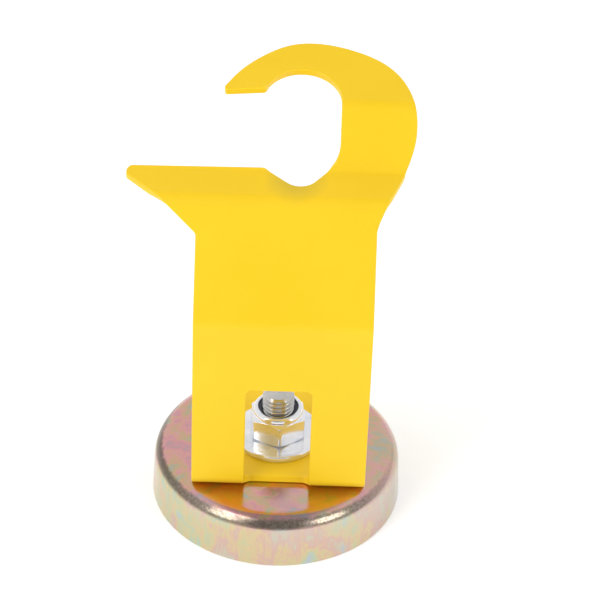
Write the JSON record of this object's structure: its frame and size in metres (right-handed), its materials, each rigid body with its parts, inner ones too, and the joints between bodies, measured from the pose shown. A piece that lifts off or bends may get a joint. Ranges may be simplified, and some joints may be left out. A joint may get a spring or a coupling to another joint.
{
  "type": "magnetic tool holder",
  "caption": "Round pot magnet base with a bent sheet-metal hook bracket clamped on its stud by a lock nut and washer, for hanging a welding torch.",
  "frame": {"origin": "centre of the magnet's flat holding face", "axes": "+Z along the stud, away from the holding face; the upright plate stands on the -Y side of the stud; the hook's mouth opens towards -X"},
  "size_m": [0.0695, 0.0658, 0.1117],
  "materials": {
    "plated_cup": "satin",
    "ferrite": "matte",
    "potting_resin": "satin",
    "zinc_steel": "polished",
    "yellow_coat": "satin",
    "dark_nylon": "satin"
  },
  "bodies": {
    "magnet_base": {"magnet_cup": "plated_cup", "ferrite_ring": "ferrite", "resin_ring": "potting_resin", "resin_plug": "potting_resin", "threaded_stud": "zinc_steel"},
    "bracket": {"hook_bracket": "yellow_coat"},
    "washer": {"flat_washer": "zinc_steel"},
    "insert": {"nylon_insert": "dark_nylon"},
    "nut": {"lock_nut": "zinc_steel"}
  },
  "joints": [
    {"name": "bracket_swivel", "type": "hinge", "parent": "magnet_base", "child": "bracket", "pos_m": [0, 0, 0.014], "axis": [0, 0, 1], "continuous": true},
    {"name": "washer_turn", "type": "hinge", "parent": "magnet_base", "child": "washer", "pos_m": [0, 0, 0.016], "axis": [0, 0, 1], "continuous": true},
    {"name": "nut_lift", "type": "slide", "parent": "magnet_base", "child": "insert", "axis": [0, 0, 1], "range_m": [0, 0.01001]},
    {"name": "nut_turn", "type": "hinge", "parent": "insert", "child": "nut", "pos_m": [0, 0, 0.018], "axis": [0, 0, 1], "range_deg": [0, 2880]}
  ],
  "couplings": [
    {"joint": "nut_lift", "follows": "nut_turn", "m_per_rad": 0.00019894}
  ]
}
